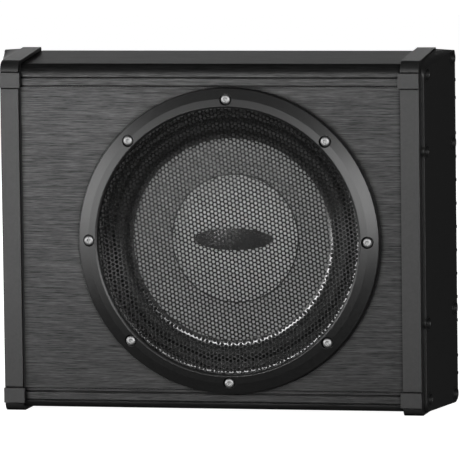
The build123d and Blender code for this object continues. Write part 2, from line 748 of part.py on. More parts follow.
with BuildPart() as top_plate:
    with BuildSketch(WOOFER.offset(SEAT_DEPTH)):
        Circle(62)
        Circle(27.7, mode=Mode.SUBTRACT)
    extrude(amount=TOP_PLATE)
save(top_plate, "top_plate")

with BuildPart() as magnet:
    with BuildSketch(WOOFER.offset(SEAT_DEPTH + TOP_PLATE)):
        Circle(66)
        Circle(33, mode=Mode.SUBTRACT)
    extrude(amount=MAGNET_THICKNESS)
    chamfer(magnet.edges().filter_by(GeomType.CIRCLE).group_by(SortBy.RADIUS)[-1], 1.5)
save(magnet, "magnet")

with BuildPart() as back_plate:
    with BuildSketch(WOOFER.offset(SEAT_DEPTH + TOP_PLATE + MAGNET_THICKNESS)):
        Circle(62)
    extrude(amount=BACK_PLATE)
    with BuildSketch(WOOFER.offset(SEAT_DEPTH)):
        Circle(24.7)
    extrude(amount=TOP_PLATE + MAGNET_THICKNESS)
    # vent through the pole
    with Locations(WOOFER.offset(SEAT_DEPTH)):
        Cylinder(6, 30, align=CENTRED_MIN, mode=Mode.SUBTRACT)
save(back_plate, "back_plate")

# ---- Woofer's connections ----
TERMINAL_X = WOOFER_X - 100.0

with BuildPart() as woofer_terminals:
    add(block((TERMINAL_X, 39.6, WOOFER_Z - 12), (TERMINAL_X + 12, 41.4, WOOFER_Z + 12)))
    for offset in (-6, 6):
        z = WOOFER_Z + offset
        add(block((TERMINAL_X - 6, 40.2, z - 1.6), (TERMINAL_X + 1, 41.0, z + 1.6)))
save(woofer_terminals, "woofer_terminals")

with BuildPart() as tinsel_leads:
    for offset in (-6, 6):
        z = WOOFER_Z + offset
        start = (WOOFER_X - 28.6, at(40.0), z)
        with BuildLine() as lead:
            ThreePointArc(start, (WOOFER_X - 54, at(37.0), z), (WOOFER_X - 79, at(40.2), z))
        with BuildSketch(Plane(origin=start, z_dir=lead.line % 0)):
            Circle(0.7)
        sweep(path=lead.line)
save(tinsel_leads, "tinsel_leads")

BOARD_DEPTH = 62.0
with BuildPart() as speaker_wires:
    for offset in (-6, 6):
        z = WOOFER_Z + offset
        start = (TERMINAL_X - 6, at(40.6), z)
        with BuildLine() as wire:
            FilletPolyline(
                start,
                (TERMINAL_X - 16, at(40.6), z),
                (TERMINAL_X - 26, at(50), z),
                (TERMINAL_X - 26, at(BOARD_DEPTH), z),
                radius=[8, 8],
            )
        with BuildSketch(Plane(origin=start, z_dir=wire.line % 0)):
            Circle(1.3)
        sweep(path=wire.line)
save(speaker_wires, "speaker_wires")

with BuildPart() as acoustic_wadding:
    add(block((140, 25, 40), (168, 72, 268)))
    fillet(acoustic_wadding.edges(), 6)
save(acoustic_wadding, "acoustic_wadding")

# ---- Amplifier ----
BOARD_THICKNESS = 1.6
BOARD_REAR = BOARD_DEPTH + BOARD_THICKNESS

with BuildPart() as amplifier_board:
    add(block((-182, BOARD_DEPTH, 40), (-104, BOARD_REAR, 270)))
    with Locations(*[Plane(origin=(x, at(BOARD_DEPTH), z), z_dir=(0, 1, 0)) for x, z in POSTS]):
        Cylinder(1.6, 2, align=CENTRED_MIN, mode=Mode.SUBTRACT)
save(amplifier_board, "amplifier_board")

POST_PLANES = [Plane(origin=(x, at(BOARD_REAR), z), z_dir=(0, 1, 0)) for x, z in POSTS]
with BuildPart() as board_standoffs:
    with BuildSketch(*POST_PLANES):
        RegularPolygon(3.2, 6)
    extrude(amount=PLATE_DEPTH - BOARD_REAR)
    with Locations(*POST_PLANES):
        Cylinder(1.55, 7, align=CENTRED_MIN, mode=Mode.SUBTRACT)
save(board_standoffs, "board_standoffs")

with BuildPart() as board_screws:
    with Locations(*[Plane(origin=(x, at(BOARD_DEPTH), z), z_dir=(0, 1, 0)) for x, z in POSTS]):
        Cylinder(2.8, 1.8, align=CENTRED_MAX)
        Cylinder(1.5, 7, align=CENTRED_MIN)
save(board_screws, "board_screws")

TRANSISTOR_HEIGHTS = [105.0 + 20.8 * k for k in range(6)]
PAD_THICKNESS = 0.5
BODY_THICKNESS = 4.5
body_front = PLATE_DEPTH - PAD_THICKNESS - BODY_THICKNESS
with BuildPart() as power_transistors:
    for z in TRANSISTOR_HEIGHTS:
        add(
            block(
                (CLAMP_X - 7.5, body_front, z - 5),
                (CLAMP_X + 7.5, body_front + BODY_THICKNESS, z + 5),
            )
        )
        # three legs, out of the side of the body and then forward to the board
        for leg in (z - 2.54, z, z + 2.54):
            add(
                block(
                    (CLAMP_X + 7.2, body_front + 2, leg - 0.4),
                    (CLAMP_X + 9.3, body_front + 2.8, leg + 0.4),
                )
            )
            add(
                block(
                    (CLAMP_X + 8.9, BOARD_REAR, leg - 0.4),
                    (CLAMP_X + 9.7, body_front + 2.8, leg + 0.4),
                )
            )
save(power_transistors, "power_transistors")

with BuildPart() as thermal_pad:
    add(block((CLAMP_X - 9, PLATE_DEPTH - PAD_THICKNESS, 98), (CLAMP_X + 9, PLATE_DEPTH, 216)))
save(thermal_pad, "thermal_pad")

with BuildPart() as transistor_clamp:
    add(block((CLAMP_X - 4, body_front - 2, 90), (CLAMP_X + 4, body_front, 224)))
    with Locations(*[Plane(origin=(CLAMP_X, at(60), z), z_dir=(0, 1, 0)) for z in CLAMP_SCREW_Z]):
        Cylinder(1.7, 20, align=CENTRED_MIN, mode=Mode.SUBTRACT)
save(transistor_clamp, "transistor_clamp")

clamp_seat = body_front - 2
with BuildPart() as clamp_screws:
    with Locations(
        *[Plane(origin=(CLAMP_X, at(clamp_seat), z), z_dir=(0, 1, 0)) for z in CLAMP_SCREW_Z]
    ):
        Cylinder(2.8, 2, align=CENTRED_MAX)
        Cylinder(1.5, 9.5, align=CENTRED_MIN)
save(clamp_screws, "clamp_screws")

with BuildPart() as filter_capacitors:
    for x, z in ((-122, 62), (-122, 82), (-122, 228), (-122, 248)):
        with Locations(Plane(origin=(x, at(BOARD_DEPTH), z), z_dir=(0, 1, 0))):
            Cylinder(8, 26, align=CENTRED_MAX)
    tops = filter_capacitors.faces().group_by(Axis.Y)[0]
    chamfer(tops.edges(), 0.8)
save(filter_capacitors, "filter_capacitors")

TOROID_AXIS = (0, 1, 0)
with BuildPart() as power_inductor:
    with Locations(Plane(origin=(-126, at(BOARD_DEPTH - 4.5), 114), z_dir=TOROID_AXIS)):
        Torus(11, 4.4)
save(power_inductor, "power_inductor")

with BuildPart() as power_transformer:
    with Locations(Plane(origin=(-132, at(BOARD_DEPTH - 8.1), 188), z_dir=TOROID_AXIS)):
        Torus(15, 8)
save(power_transformer, "power_transformer")

# ---- Controls and sockets in the left cap's recess ----
KNOB_RADIUS = 6.0
KNOB_FRONT = -195.5
KNOB_REAR = PANEL_FACE - 1.5
SHAFT_RADIUS = 3.0
PANEL_REAR = -RECESS_FLOOR
FUSE_MIDDLE = sum(FUSE_HEIGHTS) / 2
TERMINAL_MIDDLE = (TERMINAL_LOW + TERMINAL_HIGH) / 2
near, far = RECESS_DEPTHS
low, high = RECESS_HEIGHTS


def facing_left(x, z, depth=CONTROL_DEPTH):
    """Plane at a control's axis whose local z points out of the left-hand end."""
    return Plane(origin=(x, at(depth), z), x_dir=(0, 1, 0), z_dir=(-1, 0, 0))


with BuildPart() as control_panel:
    add(block((PANEL_FACE, near + 0.4, low + 0.4), (PANEL_REAR, far - 0.4, high - 0.4)))
    for z in KNOB_HEIGHTS.values():
        with Locations(facing_left(PANEL_FACE, z)):
            Cylinder(SHAFT_RADIUS + 0.6, 10, mode=Mode.SUBTRACT)
    for z in RCA_HEIGHTS:
        with Locations(facing_left(PANEL_FACE, z)):
            Cylinder(4.6, 10, mode=Mode.SUBTRACT)
    with Locations(facing_left(PANEL_FACE, LED_Z)):
        Cylinder(1.7, 10, mode=Mode.SUBTRACT)
    for z, depth, width, height in (
        (SWITCH_Z, CONTROL_DEPTH, 5.0, 11.0),
        (REMOTE_Z, CONTROL_DEPTH, 13.4, 13.4),
        (SOCKET_Z, CONTROL_DEPTH, 15.4, 17.4),
        (FUSE_MIDDLE, FUSE_DEPTH, 22.4, 13.4),
        (TERMINAL_MIDDLE, TERMINAL_DEPTH, 19.4, TERMINAL_HIGH - TERMINAL_LOW + 0.4),
    ):
        with Locations(facing_left(PANEL_FACE, z, depth)):
            Box(width, height, 10, mode=Mode.SUBTRACT)
    for x, depth, z in PANEL_SCREW_POINTS:
        with Locations(facing_left(x, z, depth)):
            Cylinder(1.4, 10, mode=Mode.SUBTRACT)
save(control_panel, "control_panel")

with BuildPart() as control_panel_screws:
    for x, depth, z in PANEL_SCREW_POINTS:
        with Locations(facing_left(PANEL_FACE, z, depth)):
            Cylinder(1.45, 1.2, align=CENTRED_MIN)
            Cylinder(1.25, 6, align=CENTRED_MAX)
save(control_panel_screws, "control_panel_screws")

with BuildPart() as potentiometers:
    for z in KNOB_HEIGHTS.values():
        add(block((PANEL_REAR, 47, z - 7), (PANEL_REAR + 11, BOARD_DEPTH, z + 7)))
        with Locations(facing_left(PANEL_REAR + 5, z)):
            Cylinder(SHAFT_RADIUS + 0.05, 10, align=CENTRED_MIN, mode=Mode.SUBTRACT)
save(potentiometers, "potentiometers")

for name, z in KNOB_HEIGHTS.items():
    with BuildPart() as knob:
        with Locations(facing_left(KNOB_REAR, z)):
            Cylinder(KNOB_RADIUS, KNOB_REAR - KNOB_FRONT, align=CENTRED_MIN)
            Cylinder(SHAFT_RADIUS, 6.5, align=CENTRED_MIN, mode=Mode.SUBTRACT)
        chamfer(knob.edges().group_by(Axis.X)[0], 0.8)
        # pointer line from the middle of the face to its upper edge
        add(
            block(
                (KNOB_FRONT - 1, CONTROL_DEPTH - 0.5, z + 1),
                (KNOB_FRONT + 0.8, CONTROL_DEPTH + 0.5, z + KNOB_RADIUS + 1),
            ),
            mode=Mode.SUBTRACT,
        )
    save(knob, f"{name}_knob")
    with BuildPart() as shaft:
        with Locations(facing_left(PANEL_REAR + 4.5, z)):
            Cylinder(SHAFT_RADIUS, PANEL_REAR + 4.5 - KNOB_REAR + 6.5, align=CENTRED_MIN)
    save(shaft, f"{name}_shaft")

SWITCH_TRAVEL = 2.0
with BuildPart() as phase_switch_body:
    add(block((PANEL_REAR, 49, SWITCH_Z - 9), (PANEL_REAR + 8, BOARD_DEPTH, SWITCH_Z + 9)))
    slot = 2.0 + SWITCH_TRAVEL + 0.4
    add(
        block(
            (PANEL_REAR - 1, CONTROL_DEPTH - 1.9, SWITCH_Z - slot),
            (PANEL_REAR + 4, CONTROL_DEPTH + 1.9, SWITCH_Z + slot),
        ),
        mode=Mode.SUBTRACT,
    )
save(phase_switch_body, "phase_switch_body")

with BuildPart() as phase_switch_lever:
    add(
        block(
            (PANEL_FACE - 3.5, CONTROL_DEPTH - 1.6, SWITCH_Z - 2),
            (PANEL_REAR + 3.7, CONTROL_DEPTH + 1.6, SWITCH_Z + 2),
        )
    )
    chamfer(phase_switch_lever.edges().group_by(Axis.X)[0], 0.5)
save(phase_switch_lever, "phase_switch_lever")

with BuildPart() as rca_jacks:
    add(
        block(
            (PANEL_REAR, 47, RCA_HEIGHTS[1] - 7.5),
            (PANEL_REAR + 12, BOARD_DEPTH, RCA_HEIGHTS[0] + 7.5),
        )
    )
    for z in RCA_HEIGHTS:
        with Locations(facing_left(PANEL_REAR + 1, z)):
            Cylinder(4.2, 10, align=CENTRED_MIN)
            Cylinder(1.6, 10, align=CENTRED_MIN, mode=Mode.SUBTRACT)
save(rca_jacks, "rca_jacks")

with BuildPart() as remote_port:
    with Locations(facing_left(PANEL_FACE - 0.5, REMOTE_Z)):
        Box(13, 13, 15, align=CENTRED_MAX)
        Box(10, 8, 12, align=CENTRED_MAX, mode=Mode.SUBTRACT)
    with Locations(facing_left(PANEL_FACE - 0.5, REMOTE_Z - 5)):
        Box(4.4, 2.2, 12, align=CENTRED_MAX, mode=Mode.SUBTRACT)
save(remote_port, "remote_port")

with BuildPart() as input_socket:
    with Locations(facing_left(PANEL_FACE - 2.5, SOCKET_Z)):
        Box(15, 17, 17, align=CENTRED_MAX)
        Box(12, 14, 11, align=CENTRED_MAX, mode=Mode.SUBTRACT)
    with Locations(facing_left(PANEL_FACE - 2.5 + 11.5, SOCKET_Z)):
        with GridLocations(6, 7, 2, 2):
            Box(1, 1, 8, align=CENTRED_MIN)
save(input_socket, "input_socket")

with BuildPart() as fuse_holder:
    with Locations(facing_left(PANEL_FACE - 1.5, FUSE_MIDDLE, FUSE_DEPTH)):
        Box(22, 13, 16, align=CENTRED_MAX)
    for z in FUSE_HEIGHTS:
        with Locations(facing_left(PANEL_FACE - 1.5, z, FUSE_DEPTH)):
            Box(19.4, 4.2, 11, align=CENTRED_MAX, mode=Mode.SUBTRACT)
save(fuse_holder, "fuse_holder")

with BuildPart() as blade_fuses:
    for z in FUSE_HEIGHTS:
        with Locations(facing_left(PANEL_FACE - 1.5, z, FUSE_DEPTH)):
            Box(19, 3.8, 10, align=CENTRED_MAX)
            Box(17.6, 3.0, 3.5, align=CENTRED_MIN)
save(blade_fuses, "blade_fuses")

WIRE_ENTRY = 5.6
WIRE_PITCH = 7.4
with BuildPart() as power_terminal:
    with Locations(facing_left(PANEL_FACE - 4, TERMINAL_MIDDLE, TERMINAL_DEPTH)):
        Box(19, TERMINAL_HIGH - TERMINAL_LOW, 20, align=CENTRED_MAX)
    with Locations(facing_left(PANEL_FACE - 4, TERMINAL_MIDDLE, TERMINAL_DEPTH - 4.4)):
        with GridLocations(0, WIRE_PITCH, 1, 3):
            Box(WIRE_ENTRY, WIRE_ENTRY, 14, align=CENTRED_MAX, mode=Mode.SUBTRACT)
    with Locations(facing_left(PANEL_FACE - 4, TERMINAL_MIDDLE, TERMINAL_DEPTH + 4.6)):
        with GridLocations(0, WIRE_PITCH, 1, 3):
            Cylinder(2.6, 5, align=CENTRED_MAX, mode=Mode.SUBTRACT)
save(power_terminal, "power_terminal")

with BuildPart() as power_terminal_screws:
    with Locations(facing_left(PANEL_FACE + 1, TERMINAL_MIDDLE, TERMINAL_DEPTH + 4.6)):
        with GridLocations(0, WIRE_PITCH, 1, 3):
            Cylinder(2.5, 3.4, align=CENTRED_MIN)
    with Locations(facing_left(PANEL_FACE - 2.4, TERMINAL_MIDDLE, TERMINAL_DEPTH + 4.6)):
        with GridLocations(0, WIRE_PITCH, 1, 3):
            Box(0.8, 6, 1.2, align=CENTRED_MAX, mode=Mode.SUBTRACT)
save(power_terminal_screws, "power_terminal_screws")

with BuildPart() as status_led:
    with Locations(facing_left(PANEL_REAR + 4, LED_Z)):
        Cylinder(1.5, 6.2, align=CENTRED_MIN)
    with Locations(facing_left(PANEL_FACE - 0.7, LED_Z)):
        Sphere(1.5)
save(status_led, "status_led")
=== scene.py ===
import json
import math

import bmesh
import bpy
from mathutils import Matrix, Quaternion, Vector


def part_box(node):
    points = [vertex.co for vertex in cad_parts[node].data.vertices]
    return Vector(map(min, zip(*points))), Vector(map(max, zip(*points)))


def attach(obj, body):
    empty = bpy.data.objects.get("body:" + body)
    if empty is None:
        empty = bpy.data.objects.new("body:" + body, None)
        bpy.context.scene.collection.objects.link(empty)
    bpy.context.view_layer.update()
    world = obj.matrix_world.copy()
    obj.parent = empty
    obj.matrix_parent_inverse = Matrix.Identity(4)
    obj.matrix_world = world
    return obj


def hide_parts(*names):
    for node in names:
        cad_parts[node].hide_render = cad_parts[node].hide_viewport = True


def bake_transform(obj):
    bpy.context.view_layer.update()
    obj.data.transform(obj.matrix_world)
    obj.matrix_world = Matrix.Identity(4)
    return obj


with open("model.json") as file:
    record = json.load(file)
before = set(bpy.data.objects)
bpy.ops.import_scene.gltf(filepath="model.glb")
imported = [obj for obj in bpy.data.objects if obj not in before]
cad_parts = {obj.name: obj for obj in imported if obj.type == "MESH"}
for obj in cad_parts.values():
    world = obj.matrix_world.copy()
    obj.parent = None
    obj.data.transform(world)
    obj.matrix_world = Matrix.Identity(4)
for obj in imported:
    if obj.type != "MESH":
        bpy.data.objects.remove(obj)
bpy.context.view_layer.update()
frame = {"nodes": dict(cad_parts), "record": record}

MM = 0.001
nodes = frame["nodes"]


# ---- Places read from the frame ----
def middle(node):
    """Centre of a CAD node's box."""
    low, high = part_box(node)
    return (low + high) / 2


STRIP_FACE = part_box("left_end_cap")[0].y + 2.5 * MM      # front of the end caps' strips
WOOFER = Vector((middle("trim_ring").x, STRIP_FACE, middle("trim_ring").z))
MESH_LOW, MESH_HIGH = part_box("grille_mesh")
PANEL_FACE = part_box("control_panel")[0].x
CONTROL_Y = middle("gain_knob").y


# ---- Material helpers ----
class Shader:
    """A Principled material and the few kinds of procedural detail used here."""

    def __init__(self, name, color, **constants):
        self.mat = bpy.data.materials.new(name)
        self.mat.use_nodes = True
        self.tree = self.mat.node_tree
        self.bsdf = self.tree.nodes["Principled BSDF"]
        self.set("Base Color", (*color, 1))
        for key, value in constants.items():
            self.set(key.replace("_", " "), value)
        self.coords = self.tree.nodes.new("ShaderNodeTexCoord").outputs["Object"]
        self.rounding = None

    def set(self, socket, value):
        self.bsdf.inputs[socket].default_value = value

    def link(self, output, socket):
        self.tree.links.new(output, socket)

    def feed(self, output, socket):
        self.link(output, self.bsdf.inputs[socket])

    def noise(self, scale, detail=3.0, roughness=0.55, distortion=0.0):
        """Noise with a scale for each axis, in features per metre."""
        mapping = self.tree.nodes.new("ShaderNodeMapping")
        mapping.inputs["Scale"].default_value = scale
        self.link(self.coords, mapping.inputs["Vector"])
        texture = self.tree.nodes.new("ShaderNodeTexNoise")
        texture.inputs["Scale"].default_value = 1.0
        texture.inputs["Detail"].default_value = detail
        texture.inputs["Roughness"].default_value = roughness
        texture.inputs["Distortion"].default_value = distortion
        self.link(mapping.outputs["Vector"], texture.inputs["Vector"])
        return texture.outputs["Fac"]

    def spread(self, fac, low, high, start=0.3, end=0.7):
        """Maps a 0 to 1 pattern, cut to start...end, onto low...high."""
        node = self.tree.nodes.new("ShaderNodeMapRange")
        ends = {"From Min": start, "From Max": end, "To Min": low, "To Max": high}
        for socket, value in ends.items():
            node.inputs[socket].default_value = value
        self.link(fac, node.inputs["Value"])
        return node.outputs["Result"]

    def sum(self, first, second, weight=1.0):
        """first + second * weight."""
        node = self.tree.nodes.new("ShaderNodeMath")
        node.operation = "MULTIPLY_ADD"
        self.link(second, node.inputs[0])
        node.inputs[1].default_value = weight
        self.link(first, node.inputs[2])
        return node.outputs["Value"]

    def tint(self, fac, dark, light, start=0.3, end=0.7, crevice_shade=0.0):
        """Base colour that follows a pattern. Gaps narrower than the given reach get painted
        shade: ambient occlusion darkens their colour and their gloss.
        """
        ramp = self.tree.nodes.new("ShaderNodeValToRGB")
        ramp.color_ramp.elements[0].position = start
        ramp.color_ramp.elements[1].position = end
        ramp.color_ramp.elements[0].color = (*dark, 1)
        ramp.color_ramp.elements[1].color = (*light, 1)
        self.link(fac, ramp.inputs["Fac"])
        if not crevice_shade:
            self.feed(ramp.outputs["Color"], "Base Color")
            return
        # painted shade: ambient occlusion darkens the base colour in narrow gaps
        gap_shade = self.tree.nodes.new("ShaderNodeAmbientOcclusion")
        gap_shade.samples = 6
        gap_shade.inputs["Distance"].default_value = crevice_shade
        self.link(ramp.outputs["Color"], gap_shade.inputs["Color"])
        self.feed(gap_shade.outputs["Color"], "Base Color")
        # painted shade: occlusion also dims the specular level in narrow gaps
        level = self.bsdf.inputs["Specular IOR Level"].default_value
        self.feed(self.spread(gap_shade.outputs["AO"], 0.0, level, 0.3, 0.85), "Specular IOR Level")

    def round_edges(self, radius):
        """Edges catch the light as if rounded to this radius."""
        node = self.tree.nodes.new("ShaderNodeBevel")
        node.samples = 6
        node.inputs["Radius"].default_value = radius
        self.rounding = node.outputs["Normal"]
        self.feed(self.rounding, "Normal")

    def bump(self, height, distance, strength=1.0):
        node = self.tree.nodes.new("ShaderNodeBump")
        node.inputs["Distance"].default_value = distance
        node.inputs["Strength"].default_value = strength
        self.link(height, node.inputs["Height"])
        if self.rounding:
            self.link(self.rounding, node.inputs["Normal"])
        self.feed(node.outputs["Normal"], "Normal")


def grey(value, warm=0.0):
    return (value * (1 + warm), value, value * (1 - warm))


def brushed_black():
    """Black anodised aluminium, brushed along X: three noises, each drawn out along X, with
    painted shade in narrow gaps.
    """
    s = Shader("brushed_black", grey(0.08), Roughness=0.42, Metallic=0.85)
    s.set("Specular Tint", (*grey(0.35), 1))
    s.round_edges(0.0004)
    streak = s.noise((60, 2100, 2100), 3, 0.6)
    fine = s.noise((150, 3900, 3900), 3, 0.6)
    long = s.noise((9, 1500, 1500), 3, 0.6)
    pattern = s.sum(s.sum(streak, fine, 0.6), long, 0.6)
    low, high = 0.85, 1.35      # the part of the sum that the pattern uses
    brushing = s.spread(pattern, 0, 1, low, high)
    s.tint(brushing, grey(0.009), grey(0.049), start=0, end=1, crevice_shade=0.005)
    s.feed(s.spread(pattern, 0.42, 0.34, low, high), "Roughness")
    s.bump(s.sum(fine, streak, 1.0), 0.00002, 0.6)
    return s.mat


def textured_paint(name, value, rough, bump=0.00005, rounding=0.0006, specular=0.5):
    """Black paint with a fine grain, as on a die casting, with painted shade in narrow gaps."""
    s = Shader(name, grey(value), Roughness=rough, Specular_IOR_Level=specular)
    s.round_edges(rounding)
    grain = s.noise((1900, 1900, 1900), 3, 0.6)
    mottle = s.noise((420, 420, 420), 4, 0.6)
    s.tint(mottle, grey(value * 0.75), grey(value * 1.3), crevice_shade=0.004)
    s.feed(s.spread(mottle, rough - 0.025, rough + 0.025), "Roughness")
    s.bump(grain, bump, 0.6)
    return s.mat


def plain_detail(name, color, rough, metallic=0.0, scale=600.0, vary=0.2, bump=0.00002, **more):
    """A moulded, woven or plated surface, slightly uneven in colour, gloss and level."""
    s = Shader(name, color, Roughness=rough, Metallic=metallic, **more)
    s.round_edges(0.0002)
    uneven = s.noise((scale, scale, scale), 4, 0.6)
    dark = tuple(c * (1 - vary) for c in color)
    light = tuple(min(1.0, c * (1 + vary)) for c in color)
    s.tint(uneven, dark, light)
    s.feed(s.spread(uneven, max(0.05, rough - 0.08), min(1.0, rough + 0.08)), "Roughness")
    s.bump(uneven, bump, 0.6)
    return s.mat


MATERIALS = {
    "shell_black": brushed_black(),
    "cap_black": textured_paint("cap_black", 0.008, 0.4, 0.00003, specular=0.36),
    "heatsink_black": textured_paint("heatsink_black", 0.015, 0.42, rounding=0.0003),
    "ring_black": textured_paint("ring_black", 0.006, 0.33, 0.000012, 0.0004, specular=0.36),
    "mesh_black": textured_paint("mesh_black", 0.003, 0.14, 0.000003, 0.0002),
    "bright_screw": plain_detail("bright_screw", grey(0.24), 0.5, 1.0, 900),
    "black_screw": plain_detail("black_screw", grey(0.05), 0.35, 0.6, 900),
    "cone_grey": plain_detail("cone_grey", grey(0.33), 0.6, 0, 500),
    "dust_cap_grey": plain_detail("dust_cap_grey", grey(0.5), 0.5, 0, 500),
    "badge_black": plain_detail("badge_black", grey(0.012), 0.25, 0, 300),
    "surround_rubber": plain_detail("surround_rubber", grey(0.012), 0.6, 0, 700),
    "basket_black": plain_detail("basket_black", grey(0.02), 0.5),
    "magnet_dark": plain_detail("magnet_dark", grey(0.07), 0.6),
    "pole_steel": plain_detail("pole_steel", grey(0.5, 0.08), 0.4, 1.0),
    "spider_fabric": plain_detail("spider_fabric", (0.5, 0.36, 0.18), 0.85, 0, 1500, 0.3, 0.0001),
    "former_film": plain_detail("former_film", (0.5, 0.42, 0.3), 0.35, 0.9),
    "coil_copper": plain_detail("coil_copper", (0.6, 0.25, 0.1), 0.3, 1.0, 2500),
    "gasket_foam": plain_detail("gasket_foam", grey(0.01), 0.9, 0, 1500, 0.3, 0.0001),
    "wadding_grey": plain_detail("wadding_grey", grey(0.5), 0.95, 0, 300, 0.25, 0.001),
    "board_green": plain_detail("board_green", (0.02, 0.16, 0.06), 0.35, 0, 900),
    "component_black": plain_detail("component_black", grey(0.03), 0.5),
    "capacitor_sleeve": plain_detail("capacitor_sleeve", (0.03, 0.035, 0.09), 0.3),
    "winding_copper": plain_detail("winding_copper", (0.5, 0.2, 0.07), 0.35, 0.9, 900),
    "post_brass": plain_detail("post_brass", (0.65, 0.48, 0.2), 0.3, 1.0),
    "pad_grey": plain_detail("pad_grey", grey(0.45), 0.8),
    "clamp_steel": plain_detail("clamp_steel", grey(0.55), 0.35, 1.0),
    "panel_black": textured_paint("panel_black", 0.015, 0.42, rounding=0.0003),
    "knob_black": plain_detail("knob_black", grey(0.02), 0.45),
    "shaft_steel": plain_detail("shaft_steel", grey(0.6), 0.3, 1.0),
    "socket_black": plain_detail("socket_black", grey(0.025), 0.5),
    "socket_white": plain_detail("socket_white", (0.75, 0.74, 0.7), 0.45),
    "jack_metal": plain_detail("jack_metal", (0.8, 0.58, 0.2), 0.25, 1.0),
    "fuse_amber": plain_detail("fuse_amber", (0.8, 0.3, 0.03), 0.3),
    "terminal_nickel": plain_detail("terminal_nickel", grey(0.6, 0.05), 0.35, 1.0),
    "lamp_blue": plain_detail("lamp_blue", (0.15, 0.35, 0.9), 0.15),
    "wire_red": plain_detail("wire_red", (0.45, 0.02, 0.02), 0.45),
    "foot_rubber": plain_detail("foot_rubber", grey(0.02), 0.75, 0, 1500, 0.3, 0.00006),
}

# every CAD node takes the material of its slot in the record
for part in frame["record"]["subparts"]:
    mesh = nodes[part["node"]].data
    mesh.materials.clear()
    mesh.materials.append(MATERIALS[part["material_slot"]])
    for polygon in mesh.polygons:
        polygon.material_index = 0


# ---- Making pieces ----
def piece(name, bm, body, slot, replaces=(), smooth_angle=35.0):
    """A new object from a bmesh in the frame's metres, riding on a body if one is given."""
    mesh = bpy.data.meshes.new(name)
    bmesh.ops.recalc_face_normals(bm, faces=bm.faces)
    bm.to_mesh(mesh)
    bm.free()
    mesh.materials.append(MATERIALS[slot])
    mesh.shade_smooth()
    mesh.set_sharp_from_angle(angle=math.radians(smooth_angle))
    obj = bpy.data.objects.new(name, mesh)
    bpy.context.scene.collection.objects.link(obj)
    if body:
        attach(obj, body)
    if replaces:
        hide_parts(*replaces)
    return obj


def facing(centre, direction):
    """Matrix at a centre whose local z points along a direction."""
    turn = Vector(direction).to_track_quat("Z", "Y")
    return Matrix.Translation(centre) @ turn.to_matrix().to_4x4()


def lathe(bm, place, profile, segments=48, shape=None, closed=False):
    """Turns (radius, height) points about local z.

    shape(angle, radius, index) may alter a radius, and closed joins the last point to the first.
    """
    rings = []
    for index, (radius, height) in enumerate(profile):
        if radius == 0:
            rings.append([bm.verts.new(place @ Vector((0, 0, height)))])
            continue
        ring = []
        for k in range(segments):
            angle = 2 * math.pi * k / segments
            r = shape(angle, radius, index) if shape else radius
            spot = Vector((r * math.cos(angle), r * math.sin(angle), height))
            ring.append(bm.verts.new(place @ spot))
        rings.append(ring)
    pairs = list(zip(rings, rings[1:]))
    if closed:
        pairs.append((rings[-1], rings[0]))
    for low_ring, high_ring in pairs:
        for k in range(segments):
            n = (k + 1) % segments
            corners = [low_ring[k % len(low_ring)], low_ring[n % len(low_ring)]]
            corners += [high_ring[n % len(high_ring)], high_ring[k % len(high_ring)]]
            bm.faces.new(list(dict.fromkeys(corners)))


def bar(bm, place, low, high):
    """A box between two corners in the place's local axes."""
    made = bmesh.ops.create_cube(bm, size=1.0)["verts"]
    size = Vector(high) - Vector(low)
    centre = (Vector(low) + Vector(high)) / 2
    stretch = Matrix.Translation(centre) @ Matrix.Diagonal((*size, 1))
    bmesh.ops.transform(bm, matrix=place @ stretch, verts=made)


def millimetres(profile):
    """(radius, height) points given in millimetres, in metres."""
    return [(radius * MM, height * MM) for radius, height in profile]


def tube(bm, rings):
    """Faces between neighbouring rings of vertices."""
    for first, second in zip(rings, rings[1:]):
        for k in range(len(first)):
            n = (k + 1) % len(first)
            bm.faces.new((first[k], first[n], second[n], second[k]))


def share(obj, weight_of):
    """Bakes a piece's transform and computes weight_of(point), the enclosure's share, at each
    vertex; nothing uses these weights.
    """
    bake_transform(obj)
    weights = [weight_of(v.co) for v in obj.data.vertices]


def smooth_step(value, start, end):
    t = min(1.0, max(0.0, (value - start) / (end - start)))
    return t * t * (3 - 2 * t)


def off_axis(point):
    """Distance of a point from the woofer's axis."""
    return math.hypot(point.x - WOOFER.x, point.z - WOOFER.z)


# ---- Perforated mesh ----
HOLE_PITCH = 3.85 * MM
HOLE_ACROSS = 2.8 * MM      # between the flats
LATTICE_TILT = math.radians(5.5)
MESH_THICKNESS = 1.0 * MM
PERFORATED_RADIUS = 121.5 * MM
FLAT_RADIUS = 91.5 * MM
FLANGE_START = 116.0 * MM
MESH_FLAT_Y = MESH_HIGH.y - MESH_THICKNESS
MESH_RISE = MESH_FLAT_Y - MESH_LOW.y
CREASE = 3.0 * MM           # how far the bend at the flat's edge is drawn out
CORNER_ROUNDING = 1.08      # reach of the hexagons' corners over that of their flats


def dish_y(radius):
    """Y of the mesh's front face: flat middle, sloping rim, flange."""
    beyond = radius - FLAT_RADIUS
    slope = MESH_RISE / (FLANGE_START - FLAT_RADIUS)
    rise = slope * (beyond + math.hypot(beyond, CREASE)) / 2
    return MESH_FLAT_Y - min(rise, MESH_RISE)


